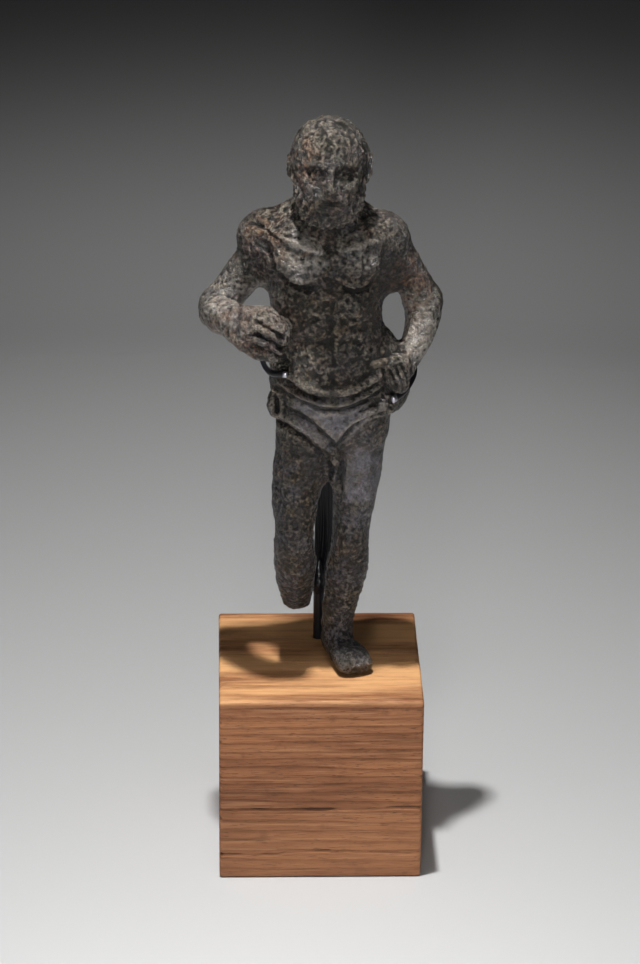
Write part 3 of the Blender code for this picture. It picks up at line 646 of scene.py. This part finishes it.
for line, width, height in LEG_STROKES:
    carving.stroke(line, width, height)
carving.lump((0.9, 1.0, 7.4), (1.0, 1.4, 1.4), 0.45)
carving.lump((7.2, 1.2, 6.6), (1.0, 1.4, 1.4), 0.45)
for x in (5.4, 6.9, 8.3, 9.6):
    carving.stroke([(x - 0.5, -7.6), (x, -9.6), (x + 0.3, -11.6)], 0.32, -0.42, "above")
carving.stroke([(4.4, -10.2), (7.0, -10.8), (9.8, -10.0)], 0.8, 0.22, "above")

# The casting flaw across the right shoulder, and the old break of the right leg
carving.stroke([(-15.6, 102.6), (-13.8, 102.2), (-12.1, 101.4), (-10.4, 100.9), (-8.8, 100.4)], 0.45, -0.80)
carving.lump((-14.4, -1.6, 102.4), (1.1, 1.4, 0.8), -0.70)
carving.stroke([(-15.4, 100.8), (-13.0, 100.2), (-10.4, 99.4), (-8.0, 98.6)], 0.55, 0.40)
carving.lump((-5.4, 2.4, 8.8), (2.6, 2.4, 1.2), -0.50)
carving.settle()

# The head. Its face is a plain, calm one on the usual proportions: eyes half way down, nose and mouth below.
FACE_MIDDLE = 1.1
EYE_HEIGHT = 116.6
EYE_AWAY = 3.0
for side in (-1, 1):
    eye = FACE_MIDDLE + side * EYE_AWAY
    carving.lump((eye, -11.6, EYE_HEIGHT), (1.9, 2.4, 1.25), -0.75)
    carving.lump((eye, -11.8, EYE_HEIGHT - 0.1), (1.15, 2.0, 0.75), 0.75)
    brow = [(FACE_MIDDLE + side * 0.9, 118.3), (eye - side * 0.4, 119.2), (eye + side * 1.8, 118.2)]
    carving.stroke(brow, 0.65, 0.50)
    carving.lump((FACE_MIDDLE + side * 4.1, -10.6, 113.9), (1.9, 2.2, 1.6), 0.45)
    carving.lump((FACE_MIDDLE + side * 0.95, -13.4, 113.5), (0.6, 1.2, 0.55), 0.45)
    moustache = [(FACE_MIDDLE + side * away, z) for away, z in ((0.2, 112.3), (1.8, 111.9), (3.6, 110.5))]
    carving.stroke(moustache, 0.62, 0.50)
carving.stroke([(FACE_MIDDLE, 118.4), (FACE_MIDDLE, 116.6), (FACE_MIDDLE, 113.6)], 0.62, 0.75, taper=0.15)
carving.lump((FACE_MIDDLE, -13.6, 113.7), (0.85, 1.4, 0.8), 0.55)
carving.settle()
for side in (-1, 1):
    eye = FACE_MIDDLE + side * EYE_AWAY
    for lid, bow in ((0.62, 0.35), (-0.62, -0.22)):
        line = [(eye - 1.25, EYE_HEIGHT), (eye, EYE_HEIGHT + lid + 0.2 * bow), (eye + 1.25, EYE_HEIGHT)]
        carving.stroke(line, 0.22, 0.26)
carving.stroke([(FACE_MIDDLE - 1.7, 110.9), (FACE_MIDDLE, 110.7), (FACE_MIDDLE + 1.7, 110.9)], 0.30, -0.50)
carving.stroke([(FACE_MIDDLE - 1.1, 110.0), (FACE_MIDDLE, 109.85), (FACE_MIDDLE + 1.1, 110.0)], 0.40, 0.30)

# Beard and hair: short locks in rows, the beard's longer and curled at their ends
SKULL = np.array((1.1, -3.6, 116.8))


def lock(direction, fall, length, width, height):
    """One lock, from where a ray out of the skull meets the skin, along the way that the hair falls."""
    direction = Vector(direction).normalized()
    root, normal = carving.tree.ray_cast(Vector(SKULL) + direction * 30, -direction)[:2]
    if root is None:
        return
    fall = Vector(fall)
    fall = (fall - normal * fall.dot(normal)).normalized()
    across = normal.cross(fall)
    curl = generator.uniform(-0.5, 0.5)
    line = [root + fall * length * t + across * length * curl * t * t for t in (0, 0.35, 0.7, 1.0)]
    carving.stroke([tuple(point) for point in line], width, height, None, taper=0.35)


for row in range(11):
    # Rows round the cap of hair, from the crown down to its edge
    tilt = math.radians(8 + 9.5 * row)
    around = max(4, int(27 * math.sin(tilt)))
    for step in range(around):
        turn = math.tau * (step + 0.5 * (row % 2)) / around + generator.uniform(-0.06, 0.06)
        x, y, z = math.sin(turn) * math.sin(tilt), math.cos(turn) * math.sin(tilt), math.cos(tilt)
        over_face = y < -0.25 and z < 0.38 + 0.25 * abs(x)
        if not over_face:
            lock((x, y, z), (x * 0.7, y - 0.15, -0.9), 1.9, 0.34, 0.36)
for row in range(7):
    # Rows round the beard, from ear to ear and down to its point
    for step in range(13):
        turn = math.radians(-78 + 13 * step + 6.5 * (row % 2)) + generator.uniform(-0.05, 0.05)
        drop = -0.22 - 0.19 * row - 0.20 * math.cos(turn)
        over_mouth = row < 2 and abs(turn) < 0.75 or row < 3 and abs(turn) < 0.42
        if not over_mouth:
            direction = (math.sin(turn), -math.cos(turn) - 0.1, drop)
            lock(direction, (0.25 * math.sin(turn), -0.1, -1.0), 2.2, 0.40, 0.62)
for side, x in (("right", -6.6), ("left", 9.0)):
    # Each ear: its rim, and the hollow that the rim runs round
    rim = [(-2.2, 113.6), (-1.6, 116.0), (-2.6, 117.7), (-4.3, 117.2), (-4.6, 115.4), (-3.9, 113.4)]
    carving.stroke(rim, 0.38, 0.45, side, taper=0.1)
    carving.lump((x, -3.3, 115.4), (1.2, 0.6, 1.1), -0.55)
carving.settle()

# What the ground did to it: a lumpy crust on the trunk and legs, pits everywhere, and worn smoother places
smooth_cloth = np.maximum.reduce([
    carving.near((2.0, -9.0, 60.5), (13.0, 9.0, 8.0)),
    carving.near((8.6, -5.0, 46.0), (7.0, 8.0, 13.0)),
])
# Smoother, rubbed places, whose paler tint further on is a painted sheen as well as wear
polish_and_sheen = np.maximum.reduce([
    carving.near((-17.0, -5.0, 83.5), (12.0, 12.0, 9.5)),
    carving.near((20.0, -2.0, 78.0), (7.0, 9.0, 11.0)),
    0.3 * carving.near((6.5, -8.0, 4.0), (6.0, 6.0, 4.0)),
    0.8 * carving.near((-12.0, -11.0, 82.5), (7.0, 6.0, 6.0), 0.7),
    carving.near((-4.0, -8.0, 97.5), (8.0, 6.0, 8.0), 0.7),
    0.6 * carving.near((7.0, -8.0, 98.0), (6.0, 6.0, 6.0), 0.7),
])
crusted = np.maximum.reduce([
    carving.near((2.0, -9.0, 80.0), (15.0, 12.0, 18.0), 1.0),
    carving.near((4.0, -9.0, 91.0), (9.0, 7.0, 9.0), 1.0),
    0.9 * carving.near((-5.4, -4.0, 40.0), (9.0, 10.0, 19.0), 0.8),
    0.8 * carving.near((5.6, -2.0, 16.0), (9.0, 10.0, 19.0), 0.8),
])
ground = carving.points
coarse = 0.20 * cloud(ground, 3.4, 1) + 0.12 * cloud(ground, 1.7, 2)
coarse *= 1 - 0.45 * np.maximum(polish_and_sheen, smooth_cloth)
grainy = cloud(ground, 0.95, 3)
fine = cloud(ground, 0.55, 4)
roughness = 0.15 + 0.12 * crusted - 0.09 * np.maximum(smooth_cloth, 0.7 * polish_and_sheen)
carving.lift += coarse + roughness * (grainy + 0.8 * fine)
cells = np.array([noise.voronoi(point)[0][0] for point in (ground / 1.25).tolist()])
clustered = np.clip(0.5 + 1.1 * cloud(ground, 4.5, 6), 0, 1)
small_pits = np.clip(1 - cells / 0.34, 0, 1)
carving.lift -= (0.15 + 0.18 * crusted) * clustered * small_pits ** 0.7 * (1 - 0.6 * smooth_cloth)
cells = np.array([noise.voronoi(point)[0][0] for point in (ground / 2.9 + 31.7).tolist()])
large_pits = np.clip(1 - cells / 0.26, 0, 1)
scattered = np.clip(cloud(ground, 7.0, 8) + 0.25, 0, 1)
carving.lift -= 0.30 * scattered * large_pits ** 0.8 * (1 - 0.7 * smooth_cloth)
carving.settle()

box_low, box_high = ((np.array(corner) - (0, 0, SOLE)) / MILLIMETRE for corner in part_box("boxer"))
carving.points = np.clip(carving.points, box_low + 0.01, box_high - 0.01)
carving.settle()
fine_relief = 1.4 * roughness * (grainy + 0.8 * fine) - 0.25 * clustered * small_pits - 0.25 * large_pits
warm = np.maximum.reduce([
    carving.near((-15.0, -8.0, 81.0), (12.0, 12.0, 9.0)),
    carving.near((-11.0, -2.0, 99.0), (8.0, 9.0, 6.0)),
    carving.near((-4.0, -8.0, 117.0), (5.0, 8.0, 8.0)),
    carving.near((17.0, -2.0, 88.0), (8.0, 9.0, 10.0)),
    0.6 * carving.near((1.0, -8.0, 111.0), (7.0, 8.0, 7.0)),
])


def layered(size, seed, low, high):
    """Clouds within clouds on the skin, as a soft mask that rises from 0 at low to 1 at high."""
    total = sum(0.62 ** layer * cloud(ground, size * 0.5 ** layer, seed + layer) for layer in range(4))
    share = np.clip((total - low) / (high - low), 0, 1)
    return share * share * (3 - 2 * share)


def wash(tint, share, colour):
    """Lays a colour over the skin's tint where share is above 0."""
    return tint + share[:, None] * (np.array(colour) - tint)


# Painted highlight: upward-facing places, most on the right elbow, left forearm, head, shoulders, fist and
# belt roll, made paler as lit by the lamp overhead
top_highlight = np.clip(1.25 * carving.normals[:, 2], 0, 1) * np.maximum.reduce([
    carving.near((-20.0, -1.0, 87.0), (9.0, 10.0, 6.0), 0.7),
    carving.near((20.0, -2.0, 78.0), (7.0, 9.0, 10.0), 0.7),
    0.80 * carving.near((0.0, -6.0, 123.0), (9.0, 10.0, 7.0), 0.7),
    0.75 * carving.near((-9.0, -2.0, 104.0), (8.0, 8.0, 6.0), 0.7),
    0.60 * carving.near((13.0, -1.0, 103.0), (7.0, 8.0, 6.0), 0.7),
    0.70 * carving.near((-12.0, -10.0, 84.0), (6.0, 6.0, 5.0), 0.7),
    0.80 * carving.near((5.5, -10.5, 67.0), (9.0, 4.0, 1.6), 0.5),
    np.full(len(ground), 0.10),
])

# The colours on the skin, laid over one another from the near-black metal up
tint = np.tile((0.019, 0.016, 0.012), (len(ground), 1))
tint = wash(tint, layered(3.2, 40, -0.12, 0.26), (0.094, 0.075, 0.051))
tint = wash(tint, 0.65 * layered(4.2, 50, 0.02, 0.30), (0.125, 0.066, 0.035))
tint = wash(tint, 0.55 * layered(5.0, 55, 0.05, 0.33), (0.062, 0.064, 0.042))
tint = wash(tint, crusted * layered(3.0, 60, 0.04, 0.28), (0.120, 0.088, 0.036))
tint = wash(tint, smooth_cloth * layered(3.0, 65, -0.40, 0.10), (0.160, 0.146, 0.172))
# Painted sheen: the smoother places are lightened as if they caught the light
tint = wash(tint, polish_and_sheen * layered(2.8, 70, -0.22, 0.18), (0.300, 0.282, 0.262))
tint = wash(tint, 0.80 * warm * layered(2.8, 75, 0.02, 0.26), (0.220, 0.112, 0.062))
legs = np.clip((56.0 - ground[:, 2]) / 6.0, 0, 1)
tint = wash(tint, (0.45 + 0.40 * legs) * layered(6.5, 95, -0.05, 0.30), (0.104, 0.098, 0.116))
# Painted highlight: a pale spot on the cloth's point between the legs
tint = wash(tint, carving.near((2.6, -8.6, 50.4), (1.8, 2.6, 2.8)), (0.330, 0.260, 0.165))
thigh = carving.near((-6.0, -6.0, 44.0), (6.0, 8.0, 13.0))
waves = 1 - np.abs(cloud(ground * (0.8, 0.8, 1.9), 2.6, 80)) * 11
tint = wash(tint, thigh * np.clip(waves, 0, 1) * layered(2.0, 85, -0.2, 0.1), (0.320, 0.275, 0.225))
# Painted highlight on the upward-facing places
tint = wash(tint, 0.90 * top_highlight * layered(2.6, 88, -0.24, 0.12), (0.560, 0.480, 0.390))
# Painted shade: the foot is darkened
tint = wash(tint, 0.75 * carving.near((6.0, -8.0, 3.0), (7.0, 8.0, 6.0), 0.6), (0.030, 0.025, 0.022))
share = np.clip((fine_relief - 0.05) / 0.16, 0, 1) * layered(3.2, 90, -0.15, 0.22)
tint = wash(tint, share * (0.62 - 0.35 * smooth_cloth), (0.330, 0.275, 0.200))
tint = wash(tint, np.clip(-fine_relief / 0.13, 0, 1) * 0.95, (0.006, 0.005, 0.004))

# Ridges are lightened, partly as rubbed wear and partly as a painted highlight, and hollows are darkened, by
# how far the skin stands out of its own evened shape
EVENING_TURNS = 12
ends = np.empty(2 * len(skin.edges), dtype=np.int32)
skin.edges.foreach_get("vertices", ends)
neighbours = np.bincount(ends, minlength=len(ground))[:, None]
evened = carving.points.copy()
for turn in range(EVENING_TURNS):
    total = np.zeros_like(evened)
    for here, there in ((ends[0::2], ends[1::2]), (ends[1::2], ends[0::2])):
        for axis in range(3):
            total[:, axis] += np.bincount(here, evened[there, axis], len(ground))
    evened = total / neighbours
proud = ((carving.points - evened) * carving.normals).sum(axis=1)
proud = proud / np.std(proud)
light = 0.18 + 0.40 * layered(5.0, 97, -0.20, 0.25)
# Painted highlight on ridges, together with their rubbed wear
tint = wash(tint, light * np.clip((proud - 0.3) / 1.5, 0, 1), (0.360, 0.305, 0.240))
# Painted highlight on the ridges of the smoother places
tint = wash(tint, 0.60 * polish_and_sheen * np.clip((proud + 0.3) / 1.6, 0, 1), (0.560, 0.500, 0.435))
tint = wash(tint, 0.50 * warm * layered(2.6, 98, 0.00, 0.26), (0.250, 0.120, 0.062))
tint = wash(tint, 0.35 * crusted * layered(3.6, 99, 0.05, 0.30), (0.150, 0.088, 0.038))
tint = wash(tint, 0.90 * np.clip((-0.3 - proud) / 1.3, 0, 1), (0.008, 0.007, 0.006))
PAINTED_SHADE_PLACES = [
    # middle, reach, share of painted shade, where shade falls: the left and right upper arms, the left flank,
    # the left thigh and the foot
    ((14.5, -3.0, 93.0), (5.5, 7.0, 9.0), 0.75),
    ((-13.0, -3.0, 95.0), (4.5, 6.0, 6.0), 0.45),
    ((10.5, -6.0, 84.0), (4.0, 6.0, 8.0), 0.50),
    ((5.6, -5.0, 47.0), (5.0, 6.0, 8.0), 0.30),
    ((6.0, -8.0, 2.5), (7.0, 8.0, 6.0), 0.68),
]
for middle, reach, share in PAINTED_SHADE_PLACES:
    tint = wash(tint, share * carving.near(middle, reach, 1.0), (0.016, 0.013, 0.011))
tint = wash(tint, 0.40 * legs * layered(5.0, 101, -0.08, 0.25), (0.080, 0.076, 0.092))
keep_on_mesh(skin, "tint", np.clip(tint, 0, 1))
keep_on_mesh(skin, "cloth", smooth_cloth)
keep_on_mesh(skin, "polish_and_sheen", polish_and_sheen)

ratio = min(1.0, SKIN_TRIANGLES / (2 * len(skin.polygons)))
finished_skin = reworked(skin, ("DECIMATE", {"ratio": ratio}))

material, shader, place = new_finish("bronze_patina", Specular_IOR_Level=0.95)
cloth = place.carved("cloth")
# The smoother places' mask, which also carries their painted sheen
worn_and_sheen = place.carved("polish_and_sheen")
mottle = place.cloudy(760, 4, 0.65)
speckle = place.cloudy(1800, 3, 0.7)
shade = (0.30 + 0.70 * mottle.between(0.34, 0.60)) * (0.30 + 0.95 * speckle.between(0.38, 0.60))
shade = shade + (1 - shade) * (worn_and_sheen * 0.50 + cloth * 0.35)
feed(shader, "Base Color", shade.mix((0.006, 0.005, 0.004), place.carved("tint", 0)))
feed(shader, "Metallic", 0.15 + 0.20 * worn_and_sheen)
feed(shader, "Roughness", 0.08 - 0.02 * worn_and_sheen + 0.26 * mottle)
feed_bump(shader, (speckle * 0.55 + mottle) * (1 - 0.60 * cloth - 0.50 * worn_and_sheen), 0.00140, 1.0)
boxer = link_mesh("bronze_boxer", finished_skin, material)
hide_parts("boxer")

# The cradle: a round post that stands in the block, and three thin wires soldered side by side on its top.
# It is steel under gloss black paint. Two wires end in flattened claws whose filed tips are left bright.
WIRE_RADIUS = 0.0006
CLAW_TIPS = {"right_claw": (-7.4, -8.8, 70.7), "left_claw": (14.8, -8.2, 64.6)}
BRIGHT_LENGTH = 1.3
HAMMERED_LENGTH = 8.0
PAINT_THICKNESS = 0.00002

black_paint, shader, place = new_finish(
    "gloss_black_paint", Specular_IOR_Level=0.25, Coat_Weight=0.12, Coat_Roughness=0.12
)
bare = place.carved("bare")
paint = place.cloudy(900, 3)
scuff = place.cloudy(420, 4, 0.7).between(0.60, 0.72)
painted = scuff.mix((0.008, 0.008, 0.010), (0.022, 0.021, 0.022))
feed(shader, "Base Color", bare.mix(painted, (0.55, 0.54, 0.60)))
feed(shader, "Metallic", bare)
feed(shader, "Roughness", 0.30 + 0.16 * scuff + 0.04 * bare)
feed_bump(shader, paint, 0.00005, 0.5)

for name in ("right_claw", "left_claw", "centre_rest"):
    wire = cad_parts[name].data.copy()
    bm = bmesh.new()
    bm.from_mesh(wire)
    bmesh.ops.remove_doubles(bm, verts=bm.verts, dist=1e-6)
    bmesh.ops.join_triangles(bm, faces=bm.faces, angle_face_threshold=0.9, angle_shape_threshold=3.1)
    bm.to_mesh(wire)
    bm.free()
    wire = reworked(wire, ("SUBSURF", {"levels": 2, "render_levels": 2}))
    points = mesh_points(wire)
    normals = move_points(wire, points)
    points += PAINT_THICKNESS * normals
    bright = np.zeros(len(points))
    if name in CLAW_TIPS:
        tip = np.array(CLAW_TIPS[name]) * MILLIMETRE + (0, 0, SOLE)
        away = np.linalg.norm(points - tip, axis=1) / MILLIMETRE
        bright = np.clip((BRIGHT_LENGTH - away) / 0.25, 0, 1)
        hammered = np.clip((HAMMERED_LENGTH - away) / 3.0, 0, 1)
        points[:, 2] += 0.35 * WIRE_RADIUS * hammered * normals[:, 2]
    wire_low, wire_high = (np.array(corner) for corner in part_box(name))
    points = np.clip(points, wire_low, wire_high)
    move_points(wire, points)
    keep_on_mesh(wire, "bare", bright)
    piece = link_mesh("wire_" + name, wire, black_paint)
    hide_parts(name)


def close_tube(bm, loops):
    """Faces from each loop to the next, and a face over each end."""
    sides = len(loops[0])
    for low_loop, high_loop in zip(loops, loops[1:]):
        for i in range(sides):
            j = (i + 1) % sides
            bm.faces.new((low_loop[i], low_loop[j], high_loop[j], high_loop[i]))
    bm.faces.new(loops[0][::-1])
    bm.faces.new(loops[-1])


def turned(name, outline, middle, sides, waver):
    """A round piece turned from an outline of radius and height, with a slightly uneven skin."""
    bm = bmesh.new()
    loops = []
    for radius, height in outline:
        loop = []
        for turn in np.arange(sides) * math.tau / sides:
            spot = Vector((math.cos(turn) * radius, math.sin(turn) * radius, height))
            uneven = 1 + waver * noise.noise(spot * 1400)
            loop.append(bm.verts.new((middle[0] + spot.x * uneven, middle[1] + spot.y * uneven, height)))
        loops.append(loop)
    close_tube(bm, loops)
    mesh = bpy.data.meshes.new(name)
    bm.to_mesh(mesh)
    bm.free()
    keep_on_mesh(mesh, "bare", np.zeros(len(mesh.vertices)))
    return mesh


chamfer = 0.0004
base, crown = post_low[2], post_high[2]
outline = [(POST_RADIUS - chamfer, base), (POST_RADIUS - 0.1 * chamfer, base + 0.8 * chamfer)]
outline += [(POST_RADIUS, height) for height in np.linspace(base + chamfer, crown - chamfer, 60)]
outline += [(POST_RADIUS - 0.1 * chamfer, crown - 0.8 * chamfer), (POST_RADIUS - chamfer, crown)]
post = link_mesh("round_post", turned("round_post", outline, post_middle, 48, 0.006), black_paint)
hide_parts("post")

# The solder runs down over the post's top and up between the wires as a smooth fillet
SOLDER = [
    # radius, height over the post's top
    (0.00121, -0.0016), (0.00128, -0.0012), (0.00142, -0.0006), (0.00158, 0.0), (0.00166, 0.0006),
    (0.00164, 0.0014), (0.00150, 0.0024), (0.00128, 0.0036), (0.00098, 0.0050), (0.00062, 0.0062),
    (0.00020, 0.0070),
]
outline = [(radius, crown + height) for radius, height in smooth_path(SOLDER, 4)]
solder = link_mesh("solder_joint", turned("solder_joint", outline, post_middle, 40, 0.10), black_paint)

# The three wires lie side by side as far as the fork of the legs, and the solder fills the lines between them
WEB_TOP = 0.0478
WEB_HALF_DEPTH = 0.00042
WEB_LEVELS = 46
LEVEL_REACH = 0.0016
levels = np.linspace(crown + 0.0005, SOLE + WEB_TOP, WEB_LEVELS)
wire_middles = []
for name in ("right_claw", "centre_rest", "left_claw"):
    points = mesh_points(bpy.data.objects["wire_" + name].data)
    points = points[points[:, 2] < SOLE + WEB_TOP + 0.003]
    middles = []
    for level in levels:
        near = points[np.abs(points[:, 2] - level) < LEVEL_REACH]
        middles.append((np.mean(near[:, 0]), np.mean(near[:, 1])))
    wire_middles.append(np.array(middles))
for side, (first, second) in enumerate(zip(wire_middles, wire_middles[1:])):
    bm = bmesh.new()
    loops = []
    for level, one, other in zip(levels, first, second):
        depth = WEB_HALF_DEPTH * (1 + 0.25 * noise.noise(Vector((side, 7.0, level * 300))))
        corners = [(*one, -depth), (*other, -depth), (*other, depth), (*one, depth)]
        loops.append([bm.verts.new((x, y + away, level)) for x, y, away in corners])
    close_tube(bm, loops)
    bmesh.ops.recalc_face_normals(bm, faces=bm.faces)
    web_mesh = bpy.data.meshes.new("solder_line")
    bm.to_mesh(web_mesh)
    bm.free()
    keep_on_mesh(web_mesh, "bare", np.zeros(len(web_mesh.vertices)))
    web = link_mesh("solder_line_" + str(side + 1), web_mesh, black_paint)
